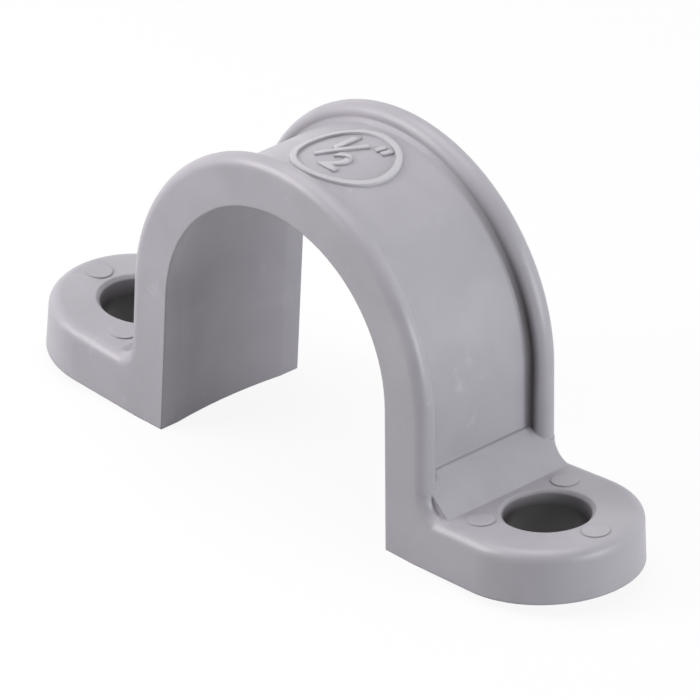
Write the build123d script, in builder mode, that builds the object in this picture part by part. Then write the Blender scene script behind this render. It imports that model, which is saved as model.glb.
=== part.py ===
# A two-hole strap for trade size 1/2 rigid plastic conduit, moulded in one piece from grey PVC.
#
# The strap is a saddle over the conduit that stands on two legs. Along its back runs a channel, a thin web
# between two raised rims with rounded crests. Each leg turns out into a thick foot with a screw hole, and
# a short ramp in the channel stiffens the corner between web and foot.
#
# Frame: the wall or table that the strap is screwed to is the plane Z = 0, the conduit lies along Y over
# the origin, and the two screw holes stand on the X axis. All lengths are in millimetres, angles in degrees.

import os
from math import cos, radians, sin, tan

from build123d import *

# Bore, the space that the conduit lies in. Below its axis the legs lean out a little, so that the strap
# springs over the conduit, and between its two lips the bore is bowed out.
conduit_diameter = 21.34
bore_clearance = 0.13
bore_axis_height = 10.35
leg_lean = 1.9
bore_bow = 0.32
lip_width = 1.6

# Saddle: the web, and the two rims that make its channel
strap_width = 13.0
web_thickness = 2.35
rim_height = 1.25
rim_width = 1.7
rim_root_bevel = 0.3

# Feet. From the leg outwards they rise a little, so that the screws draw the strap down onto the conduit.
hole_spacing = 40.0
hole_diameter = 6.1
hole_edge_bevel = 0.25
foot_thickness = 3.8
foot_rise = 4.5
foot_end_radius = 6.82
foot_draft = 4.0
foot_edge_radius = 0.85
foot_set_back = 0.04

# Ramp in the channel from the web down to the foot, and the cove in which each rim ends on the foot
ramp_reach = 2.7
ramp_rise = 2.5
toe_radius = 1.35

# Marks that the mould leaves: a raised ring on the crown, and the pads of the ejector pins on the feet
ring_radius = 3.85
ring_width = 0.5
ring_height = 0.2
pin_diameter = 2.0
pin_height = 0.08
pin_circle_radius = 4.6
pin_count = 3

# Sizes that follow from the ones above
half_width = strap_width / 2
half_spacing = hole_spacing / 2
bore_radius = conduit_diameter / 2 + bore_clearance
web_radius = bore_radius + web_thickness
rim_radius = web_radius + rim_height
lean_slope = tan(radians(leg_lean))
foot_slope = tan(radians(foot_rise))
through = 2 * strap_width
far_end = half_spacing + 2 * foot_end_radius


def leg_face(radius, height):
    """Distance from the middle at which the side of a leg lies that runs tangent into the given radius."""
    lean = radians(leg_lean)
    return radius * cos(lean) + (bore_axis_height + radius * sin(lean) - height) * lean_slope


heel = leg_face(web_radius, 0)
leg_middle = (leg_face(bore_radius, 0) + heel) / 2
ramp_foot = heel + ramp_reach
toe_x = leg_face(rim_radius, foot_thickness) + toe_radius
section_plane = Plane((0, 0, bore_axis_height), x_dir=(cos(radians(leg_lean)), 0, sin(radians(leg_lean))),
                      z_dir=(-sin(radians(leg_lean)), 0, cos(radians(leg_lean))))


def foot_top(x):
    """Height of the foot's upper side at the distance x from the middle."""
    return foot_thickness + (x - heel) * foot_slope


def wall_section(inner_radius):
    """Cross-section of the saddle's wall: x is the distance from the bore's axis, y runs along it."""
    crest = rim_width / 2
    with BuildSketch() as section:
        with Locations(((inner_radius + web_radius) / 2, 0)):
            Rectangle(web_radius - inner_radius, strap_width)
        for side in (-1, 1):
            with Locations(((web_radius + rim_radius - crest) / 2, side * (half_width - crest))):
                Rectangle(rim_radius - crest - web_radius, rim_width)
            with Locations((rim_radius - crest, side * (half_width - crest))):
                Circle(crest)
        roots = [v for v in section.vertices()
                 if abs(v.X - web_radius) < 1e-4 and abs(abs(v.Y) - (half_width - rim_width)) < 1e-4]
        chamfer(roots, rim_root_bevel)
    return section.sketch


def saddle():
    """The arch and its two legs, still without the bore."""
    with BuildPart() as body:
        with BuildSketch(section_plane):
            add(wall_section(bore_radius - web_thickness / 2))
        wall = body.pending_faces[0]
        revolve(wall, axis=Axis((0, 0, bore_axis_height), (0, -1, 0)), revolution_arc=180 - 2 * leg_lean)
        extrude(wall, amount=-bore_axis_height - web_thickness)
        mirror(about=Plane.YZ)
        split(bisect_by=Plane.XY, keep=Keep.TOP)
    return body.part


def foot():
    """One foot: a drafted tongue with a rounded end around the screw hole, rising a little outwards."""
    top_radius = foot_end_radius - foot_top(toe_x) * tan(radians(foot_draft))
    root = half_width - foot_set_back
    with BuildPart() as body:
        for height, radius in ((0, foot_end_radius), (foot_top(far_end), top_radius)):
            with BuildSketch(Plane.XY.offset(height)):
                with BuildLine():
                    Polyline((half_spacing, radius), (leg_middle, root), (leg_middle, -root),
                             (half_spacing, -radius))
                    ThreePointArc((half_spacing, -radius), (half_spacing + radius, 0), (half_spacing, radius))
                make_face()
        loft()
        with BuildSketch(Plane.XZ):
            with BuildLine():
                Polyline(
                    (0, 0),
                    (heel, 0),
                    (far_end, (far_end - heel) * foot_slope),
                    (far_end, foot_top(far_end)),
                    (0, foot_top(0)),
                    close=True,
                )
            make_face()
        extrude(amount=through, both=True, mode=Mode.INTERSECT)
        top = body.faces().sort_by(Axis.Z)[-1]
        inner_edge = top.edges().sort_by(Axis.X)[0]
        fillet([e for e in top.edges() if e.center().X > inner_edge.center().X + 1], foot_edge_radius)
        with Locations((half_spacing, 0, foot_thickness / 2)):
            Cylinder(hole_diameter / 2, 2 * foot_thickness, mode=Mode.SUBTRACT)
        top = body.faces().filter_by(lambda f: f.normal_at().Z > 0.9).sort_by(SortBy.AREA)[-1]
        chamfer(top.inner_wires()[0].edges(), hole_edge_bevel)
    return body.part


def ramp():
    """The ramp between the two rims of one leg."""
    clear = half_width - rim_width / 2
    with BuildPart() as body:
        with BuildSketch(Plane.XZ):
            with BuildLine():
                Polyline(
                    (leg_middle, 0.5 * foot_thickness),
                    (ramp_foot, 0.5 * foot_thickness),
                    (ramp_foot, foot_top(ramp_foot)),
                    (heel, foot_thickness + ramp_rise),
                    (leg_middle, foot_thickness + ramp_rise),
                    close=True,
                )
            make_face()
        extrude(amount=clear, both=True)
    return body.part


def toe():
    """The rims of one leg, turned through a quarter round to run out on the foot."""
    with BuildPart() as body:
        with BuildSketch(Plane.XY.offset(foot_top(toe_x) + toe_radius)):
            with Locations((toe_x - toe_radius - rim_radius, 0)):
                add(wall_section(web_radius - rim_height))
        revolve(axis=Axis((toe_x, 0, foot_top(toe_x) + toe_radius), (0, -1, 0)), revolution_arc=90)
    return body.part


def bore():
    """The space inside: straight lips in front and behind, and the bowed part between them."""
    lean = radians(leg_lean)
    depth = web_thickness
    tangent = (bore_radius * cos(lean), bore_axis_height + bore_radius * sin(lean))
    low = (leg_face(bore_radius, -depth), -depth)
    with BuildPart() as body:
        with BuildSketch(Plane.XZ):
            with BuildLine():
                Polyline((-tangent[0], tangent[1]), (-low[0], low[1]), low, tangent)
                ThreePointArc(tangent, (0, bore_axis_height + bore_radius), (-tangent[0], tangent[1]))
            make_face()
        extrude(amount=through, both=True)
        with BuildSketch(section_plane):
            with BuildLine():
                lip = half_width - lip_width
                ThreePointArc((bore_radius, -lip), (bore_radius + bore_bow, 0), (bore_radius, lip))
                Polyline((bore_radius, lip), (bore_radius - depth, lip), (bore_radius - depth, -lip),
                         (bore_radius, -lip))
            make_face()
        bow = body.pending_faces[0]
        revolve(bow, axis=Axis((0, 0, bore_axis_height), (0, -1, 0)), revolution_arc=180 - 2 * leg_lean)
        extrude(bow, amount=-bore_axis_height - depth)
        mirror(about=Plane.YZ)
    return body.part


def ring():
    """The raised ring on the crown."""
    with BuildPart() as body:
        with BuildSketch(Plane.XY.offset(bore_axis_height + bore_radius + web_thickness / 2)):
            Circle(ring_radius)
            Circle(ring_radius - ring_width, mode=Mode.SUBTRACT)
        extrude(amount=web_thickness)
        with Locations(Location((0, 0, bore_axis_height), (90, 0, 0))):
            Cylinder(web_radius + ring_height, through, mode=Mode.INTERSECT)
    return body.part


saddle_body, hollow, crown_ring = saddle(), bore(), ring()
right_side = (foot(), ramp(), toe())

with BuildPart() as strap:
    add(saddle_body)
    for piece in right_side:
        add(piece)
        add(piece.mirror(Plane.YZ))
    add(hollow, mode=Mode.SUBTRACT)
    add(crown_ring)
    for side in (1, -1):
        pad_plane = Plane((side * half_spacing, 0, foot_top(half_spacing)), x_dir=(side, 0, foot_slope),
                          z_dir=(-side * foot_slope, 0, 1))
        with Locations(pad_plane):
            with PolarLocations(pin_circle_radius, pin_count, rotate=False):
                Cylinder(pin_diameter / 2, 2 * pin_height)

strap.part.label = "pipe_strap"
os.makedirs("parts", exist_ok=True)
export_step(strap.part, "parts/pipe_strap.step")
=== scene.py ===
from math import radians

import bpy
from mathutils import Euler, Matrix, Vector


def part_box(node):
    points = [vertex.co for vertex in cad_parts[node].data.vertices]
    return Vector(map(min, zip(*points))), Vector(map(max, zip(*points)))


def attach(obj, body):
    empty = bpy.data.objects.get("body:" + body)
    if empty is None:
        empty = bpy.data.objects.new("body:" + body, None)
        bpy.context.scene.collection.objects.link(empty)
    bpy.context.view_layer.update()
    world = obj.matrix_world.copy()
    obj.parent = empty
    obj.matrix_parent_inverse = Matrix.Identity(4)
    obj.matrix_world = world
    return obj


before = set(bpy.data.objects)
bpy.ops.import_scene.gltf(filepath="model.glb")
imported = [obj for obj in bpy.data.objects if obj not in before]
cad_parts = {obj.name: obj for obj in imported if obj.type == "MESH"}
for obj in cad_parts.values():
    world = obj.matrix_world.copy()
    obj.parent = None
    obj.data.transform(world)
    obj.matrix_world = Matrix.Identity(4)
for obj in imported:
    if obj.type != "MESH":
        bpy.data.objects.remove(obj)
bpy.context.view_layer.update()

# The strap itself: grey PVC straight from the mould, one piece with its feet. The skin is even and
# half matt, with a very fine grain, faint flow streaks in the colour, and scuffs from lying loose in
# a bin with many others.
MM = 0.001
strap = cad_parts["pipe_strap"]
pvc = bpy.data.materials.new("grey_pvc")
pvc.use_nodes = True
nodes, links = pvc.node_tree.nodes, pvc.node_tree.links
skin = nodes["Principled BSDF"]
skin.inputs["IOR"].default_value = 1.53
skin.inputs["Specular IOR Level"].default_value = 0.5
strap_place = nodes.new("ShaderNodeTexCoord").outputs["Object"]


def noise(place, scale, detail, roughness=0.5, distortion=0.0):
    """Uneven pattern from 0 to 1, the finer the larger its scale."""
    pattern = nodes.new("ShaderNodeTexNoise")
    pattern.inputs["Scale"].default_value = scale
    pattern.inputs["Detail"].default_value = detail
    pattern.inputs["Roughness"].default_value = roughness
    pattern.inputs["Distortion"].default_value = distortion
    links.new(place, pattern.inputs["Vector"])
    return pattern.outputs["Fac"]


def rise(value, start, end, low=0.0, high=1.0):
    """Goes from low, where the value is at its start, to high at its end, and stays level beyond."""
    slope = nodes.new("ShaderNodeMapRange")
    slope.inputs["From Min"].default_value = start
    slope.inputs["From Max"].default_value = end
    slope.inputs["To Min"].default_value = low
    slope.inputs["To Max"].default_value = high
    links.new(value, slope.inputs["Value"])
    return slope.outputs["Result"]


def reckon(operation, first, second=None):
    """Result of an operation on one socket alone, or with a number or another socket."""
    sum_node = nodes.new("ShaderNodeMath")
    sum_node.operation = operation
    links.new(first, sum_node.inputs[0])
    if isinstance(second, bpy.types.NodeSocket):
        links.new(second, sum_node.inputs[1])
    elif second is not None:
        sum_node.inputs[1].default_value = second
    return sum_node.outputs["Value"]


def distance(first, second):
    """Length of a line from its two sides at right angles."""
    line = nodes.new("ShaderNodeCombineXYZ")
    links.new(first, line.inputs["X"])
    links.new(second, line.inputs["Y"])
    measured = nodes.new("ShaderNodeVectorMath")
    measured.operation = "LENGTH"
    links.new(line.outputs["Vector"], measured.inputs[0])
    return measured.outputs["Value"]


def painted(under, coat_colour, share):
    """The colour under a coat that covers as much as the share says."""
    coat = nodes.new("ShaderNodeMix")
    coat.data_type = "RGBA"
    coat.inputs["B"].default_value = coat_colour
    links.new(share, coat.inputs["Factor"])
    links.new(under, coat.inputs["A"])
    return coat.outputs["Result"]


def bumped(pattern, strength, depth, normal):
    """The surface with a pattern's relief added to the relief that it has."""
    relief = nodes.new("ShaderNodeBump")
    relief.inputs["Strength"].default_value = strength
    relief.inputs["Distance"].default_value = depth
    links.new(pattern, relief.inputs["Height"])
    links.new(normal, relief.inputs["Normal"])
    return relief.outputs["Normal"]


# Colour: flow streaks from a darker to a lighter grey, and paler scuffs over them
DARKER_GREY = (0.385, 0.368, 0.405, 1)
LIGHTER_GREY = (0.43, 0.412, 0.45, 1)
SCUFF_GREY = (0.465, 0.45, 0.49, 1)
streaks = nodes.new("ShaderNodeValToRGB")
streaks.color_ramp.elements[0].position = 0.3
streaks.color_ramp.elements[0].color = DARKER_GREY
streaks.color_ramp.elements[1].position = 0.7
streaks.color_ramp.elements[1].color = LIGHTER_GREY
links.new(noise(strap_place, scale=190, detail=4, distortion=0.8), streaks.inputs["Fac"])
rub = noise(strap_place, scale=420, detail=6, roughness=0.65)
colour = painted(streaks.outputs["Color"], SCUFF_GREY, rise(rub, 0.62, 0.74))

# The ring and the size mark stand up in the channel, and their tops are painted lighter: a painted
# highlight.
BORE_AXIS = 10.35 * MM
WEB_RADIUS = 13.15 * MM
CHANNEL_HALF_WIDTH = 4.3 * MM
CROWN_BOTTOM = 22.5 * MM
HIGHLIGHT_START, HIGHLIGHT_FULL = WEB_RADIUS + 0.07 * MM, WEB_RADIUS + 0.13 * MM
PAINTED_HIGHLIGHT_GREY = (0.51, 0.495, 0.53, 1)
spot = nodes.new("ShaderNodeSeparateXYZ")
links.new(strap_place, spot.inputs["Vector"])
across, along, height = spot.outputs["X"], spot.outputs["Y"], spot.outputs["Z"]
above_axis = reckon("SUBTRACT", height, BORE_AXIS)
off_centre = reckon("ABSOLUTE", along)
in_channel = reckon("LESS_THAN", off_centre, CHANNEL_HALF_WIDTH)
on_crown = reckon("GREATER_THAN", height, CROWN_BOTTOM)
raised = rise(distance(across, above_axis), HIGHLIGHT_START, HIGHLIGHT_FULL)
highlight_share = reckon("MULTIPLY", reckon("MULTIPLY", in_channel, on_crown), raised)
# Painted highlight on the raised tops of the ring and the size mark.
colour = painted(colour, PAINTED_HIGHLIGHT_GREY, highlight_share)

# Down inside the two screw holes, where hardly any light comes, the colour goes dark.
HOLE_SPACING = 40 * MM
HOLE_RADIUS = 3.05 * MM
HOLE_EDGE = 0.25 * MM
HOLE_DARK_START, HOLE_DARK_FULL = 4.4 * MM, 3.0 * MM
HOLE_DARK = (0.035, 0.03, 0.03, 1)
off_hole = reckon("SUBTRACT", reckon("ABSOLUTE", across), HOLE_SPACING / 2)
in_hole = rise(distance(off_hole, along), HOLE_RADIUS + HOLE_EDGE, HOLE_RADIUS)
down_hole = rise(height, HOLE_DARK_START, HOLE_DARK_FULL)
colour = painted(colour, HOLE_DARK, reckon("MULTIPLY", in_hole, down_hole))


def band(value, start, full_from, full_to, end):
    """Share that is full along a stretch and fades out before and after it."""
    return reckon("MULTIPLY", rise(value, start, full_from), rise(value, end, full_to))


# Painted shade in the grooves beside the rims as well, darker lower down.
GROOVE_OFF_CENTRE = [place * MM for place in (4.2, 4.75, 4.95, 5.3)]
GROOVE_RADIUS = [WEB_RADIUS + height_over * MM for height_over in (-0.55, -0.25, 0.4, 0.95)]
GROOVE_SHADE_START, GROOVE_SHADE_FULL = 24 * MM, 14 * MM
GROOVE_PAINTED_SHADE = (0.07, 0.06, 0.065, 1)
wall_radius = distance(across, reckon("MAXIMUM", above_axis, 0))
in_groove = reckon("MULTIPLY", band(off_centre, *GROOVE_OFF_CENTRE), band(wall_radius, *GROOVE_RADIUS))
down_groove = rise(height, GROOVE_SHADE_START, GROOVE_SHADE_FULL)
# The groove colour is painted shade, not the plastic's own colour.
colour = painted(colour, GROOVE_PAINTED_SHADE, reckon("MULTIPLY", in_groove, down_groove))
links.new(colour, skin.inputs["Base Color"])

# Gloss: half matt, and duller where it is rubbed
GLOSSIEST, DULLEST = 0.30, 0.46
links.new(rise(rub, 0, 1, low=GLOSSIEST, high=DULLEST), skin.inputs["Roughness"])

# Relief: edges that are slightly round from the mould, a fine grain, a slight waviness, and the fine
# lines that the mould's turned core and cavity leave round the bore and the web.
EDGE_ROUNDING = 0.2 * MM
LINE_STRETCH = (0.02, 1, 0.02)
soft_edge = nodes.new("ShaderNodeBevel")
soft_edge.samples = 6
soft_edge.inputs["Radius"].default_value = EDGE_ROUNDING
around = nodes.new("ShaderNodeMapping")
around.inputs["Scale"].default_value = LINE_STRETCH
links.new(strap_place, around.inputs["Vector"])
grain = noise(strap_place, scale=3800, detail=3)
waviness = noise(strap_place, scale=260, detail=2)
turned_lines = noise(around.outputs["Vector"], scale=2600, detail=2)
surface = bumped(grain, strength=0.12, depth=0.03 * MM, normal=soft_edge.outputs["Normal"])
surface = bumped(waviness, strength=0.35, depth=0.06 * MM, normal=surface)
surface = bumped(turned_lines, strength=0.3, depth=0.02 * MM, normal=surface)
links.new(surface, skin.inputs["Normal"])

for slot in strap.material_slots:
    slot.material = pvc

# The size mark inside the ring on the crown: 1/2 and an inch sign, raised letters of the same
# plastic. They are set as flat type over the crown, laid on its curve, and given their height.
MARK_HEIGHT = 0.17 * MM
MARK_SINK = 0.05 * MM
STROKE_GAIN = 0.09 * MM
CAP_SHARE = 0.69
CURVE_STEPS = 6
LAYING_CUTS = 3
WELD = 0.002 * MM
setting_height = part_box("pipe_strap")[1][2] + 2 * MM
glyphs = (
    # character, left, bottom, cap height, in mm
    ("1", -2.05, 0.25, 2.17),
    ("2", -0.45, -2.2, 2.2),
)
strokes = (
    # middle across and along, length, width, in mm, and turn in degrees: the slash and the inch sign
    (-0.72, 0.27, 3.85, 0.42, -30),
    (0.98, 2.3, 0.85, 0.36, -12),
    (1.56, 2.3, 0.85, 0.36, -12),
)
type_pieces = []
bpy.ops.object.select_all(action="DESELECT")
for character, left, bottom, cap_height in glyphs:
    bpy.ops.object.text_add(location=(left * MM, bottom * MM, setting_height))
    letter = bpy.context.object
    letter.data.body = character
    letter.data.size = cap_height / CAP_SHARE * MM
    letter.data.resolution_u = CURVE_STEPS
    letter.data.offset = STROKE_GAIN
    bpy.ops.object.convert(target="MESH")
    type_pieces.append(bpy.context.object)
for middle_across, middle_along, length, width, turn in strokes:
    middle = (middle_across * MM, middle_along * MM, setting_height)
    bpy.ops.mesh.primitive_plane_add(size=1, location=middle, rotation=(0, 0, radians(turn)))
    bpy.ops.transform.resize(value=(width * MM, length * MM, 1), orient_type="LOCAL")
    type_pieces.append(bpy.context.object)
for piece in type_pieces:
    piece.select_set(True)
bpy.context.view_layer.objects.active = type_pieces[0]
bpy.ops.object.join()
size_mark = bpy.context.object
size_mark.name = "size_mark"
bpy.ops.object.transform_apply(location=True, rotation=True, scale=True)
bpy.ops.object.mode_set(mode="EDIT")
bpy.ops.mesh.select_all(action="SELECT")
bpy.ops.mesh.quads_convert_to_tris()
bpy.ops.mesh.subdivide(number_cuts=LAYING_CUTS)
bpy.ops.object.mode_set(mode="OBJECT")
lay = size_mark.modifiers.new("lay on the web", "SHRINKWRAP")
lay.wrap_method = "PROJECT"
lay.use_project_z = True
lay.use_negative_direction = True
lay.use_positive_direction = False
lay.target = strap
bpy.ops.object.modifier_apply(modifier=lay.name)
bpy.ops.object.mode_set(mode="EDIT")
bpy.ops.mesh.select_all(action="SELECT")
bpy.ops.mesh.remove_doubles(threshold=WELD)
bpy.ops.mesh.normals_make_consistent(inside=False)
bpy.ops.object.mode_set(mode="OBJECT")
if sum(face.normal.z * face.area for face in size_mark.data.polygons) < 0:
    size_mark.data.flip_normals()
thick = size_mark.modifiers.new("height", "SOLIDIFY")
thick.thickness = MARK_HEIGHT + MARK_SINK
thick.offset = 2 * MARK_HEIGHT / (MARK_HEIGHT + MARK_SINK) - 1
bpy.ops.object.modifier_apply(modifier=thick.name)
size_mark.data.materials.clear()
size_mark.data.materials.append(pvc)
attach(size_mark, "root")

# The floor: a plain white sheet that the strap stands on, which keeps the strap's soft shadow. Only
# the camera and reflections see it this white, so that it doesn't light the strap from below.
FLOOR_RADIUS = 0.9
FLOOR_SIDES = 96
SEEN_WHITE = (0.88, 0.88, 0.89, 1)
BOUNCING_GREY = (0.46, 0.46, 0.47, 1)
GLOWING_SHARE = 0.9
bpy.ops.mesh.primitive_circle_add(vertices=FLOOR_SIDES, radius=FLOOR_RADIUS, fill_type="NGON",
                                  location=(0, 0, 0))
floor = bpy.context.object
floor.name = "floor"
white = bpy.data.materials.new("white_sheet")
white.use_nodes = True
nodes, links = white.node_tree.nodes, white.node_tree.links
sheet = nodes["Principled BSDF"]
sheet.inputs["Roughness"].default_value = 0.9
sheet.inputs["Specular IOR Level"].default_value = 0.1


def blended(first, second, share):
    """Shader that goes from the first to the second as the share rises."""
    blend = nodes.new("ShaderNodeMixShader")
    links.new(share, blend.inputs["Fac"])
    links.new(first, blend.inputs[1])
    links.new(second, blend.inputs[2])
    return blend.outputs["Shader"]


seen = nodes.new("ShaderNodeLightPath")
paper = nodes.new("ShaderNodeMix")
paper.data_type = "RGBA"
paper.inputs["A"].default_value = BOUNCING_GREY
paper.inputs["B"].default_value = SEEN_WHITE
links.new(seen.outputs["Is Camera Ray"], paper.inputs["Factor"])
links.new(paper.outputs["Result"], sheet.inputs["Base Color"])
glow = nodes.new("ShaderNodeEmission")
seen_or_mirrored = reckon("MAXIMUM", seen.outputs["Is Camera Ray"], seen.outputs["Is Glossy Ray"])
glowing_sheet = blended(sheet.outputs["BSDF"], glow.outputs["Emission"],
                        reckon("MULTIPLY", seen_or_mirrored, GLOWING_SHARE))
links.new(glowing_sheet, nodes["Material Output"].inputs["Surface"])
floor.data.materials.append(white)

# The tent: white cloth all round, open and darker on the front right, where the camera stands. The
# plastic mirrors it brighter than it lights, and the camera sees plain white behind the strap.
TOWARDS_OPENING = (0.68, -0.68, 0.27)
OPENING_START, OPENING_FULL = 0.15, 0.85
CLOTH_LIGHT, OPENING_LIGHT = 0.55, 0.06
MIRRORED_GAIN = 1.8
CLOTH_WHITE = (1, 1, 1, 1)
world = bpy.data.worlds.new("tent")
bpy.context.scene.world = world
world.use_nodes = True
nodes, links = world.node_tree.nodes, world.node_tree.links
opening = nodes.new("ShaderNodeVectorMath")
opening.operation = "DOT_PRODUCT"
opening.inputs[1].default_value = TOWARDS_OPENING
links.new(nodes.new("ShaderNodeTexCoord").outputs["Generated"], opening.inputs[0])
cloth = rise(opening.outputs["Value"], OPENING_START, OPENING_FULL, low=CLOTH_LIGHT, high=OPENING_LIGHT)
cloth.node.interpolation_type = "SMOOTHSTEP"
lighting = nodes["Background"]
mirrored = nodes.new("ShaderNodeBackground")
backdrop = nodes.new("ShaderNodeBackground")
for background in (lighting, mirrored, backdrop):
    background.inputs["Color"].default_value = CLOTH_WHITE
links.new(cloth, lighting.inputs["Strength"])
links.new(reckon("MULTIPLY", cloth, MIRRORED_GAIN), mirrored.inputs["Strength"])
backdrop.inputs["Strength"].default_value = 1.0
seen = nodes.new("ShaderNodeLightPath")
tent = blended(lighting.outputs["Background"], mirrored.outputs["Background"], seen.outputs["Is Glossy Ray"])
tent = blended(tent, backdrop.outputs["Background"], seen.outputs["Is Camera Ray"])
links.new(tent, nodes["World Output"].inputs["Surface"])

# The lamps: one on each side and one overhead, which give the strap its shape. The left one stands
# close, so that the front face gets darker towards the right foot.
LAMP_TARGET = Vector((0, 0, 0.01))
lamps = (
    # name, place in metres, size in metres, watts, colour
    ("left", (-0.10, -0.11, 0.09), 0.10, 0.20, (1, 0.97, 0.98)),
    ("right", (0.33, 0.05, 0.09), 0.20, 0.72, (0.96, 0.98, 1)),
    ("overhead", (-0.04, 0, 0.21), 0.17, 0.17, (1, 1, 1)),
)
for name, stand, size, watts, tint in lamps:
    bpy.ops.object.light_add(type="AREA", location=stand)
    lamp = bpy.context.object
    lamp.name = name
    lamp.data.size = size
    lamp.data.energy = watts
    lamp.data.color = tint
    lamp.rotation_euler = (LAMP_TARGET - Vector(stand)).to_track_quat("-Z", "Y").to_euler()

# The camera: a long lens from the front right and above, turned slightly, as the photograph was
# taken. Its angles are in degrees and its distance in metres.
CAMERA_AZIMUTH, CAMERA_ELEVATION, CAMERA_ROLL = 45.603, 29.013, 1.067
CAMERA_DISTANCE = 0.7
CAMERA_AIM = (0.637 * MM, 7.384 * MM)
CAMERA_LENS = 523.4
bpy.ops.object.camera_add()
camera = bpy.context.object
facing = Euler((radians(90 - CAMERA_ELEVATION), 0, radians(CAMERA_AZIMUTH))).to_matrix()
turned = facing @ Matrix.Rotation(radians(CAMERA_ROLL), 3, "Z")
camera.location = turned @ Vector((*CAMERA_AIM, CAMERA_DISTANCE))
camera.rotation_euler = turned.to_euler()
camera.data.lens = CAMERA_LENS
camera.data.clip_start = 0.05
bpy.context.scene.camera = camera

bpy.context.scene.view_settings.view_transform = "Standard"
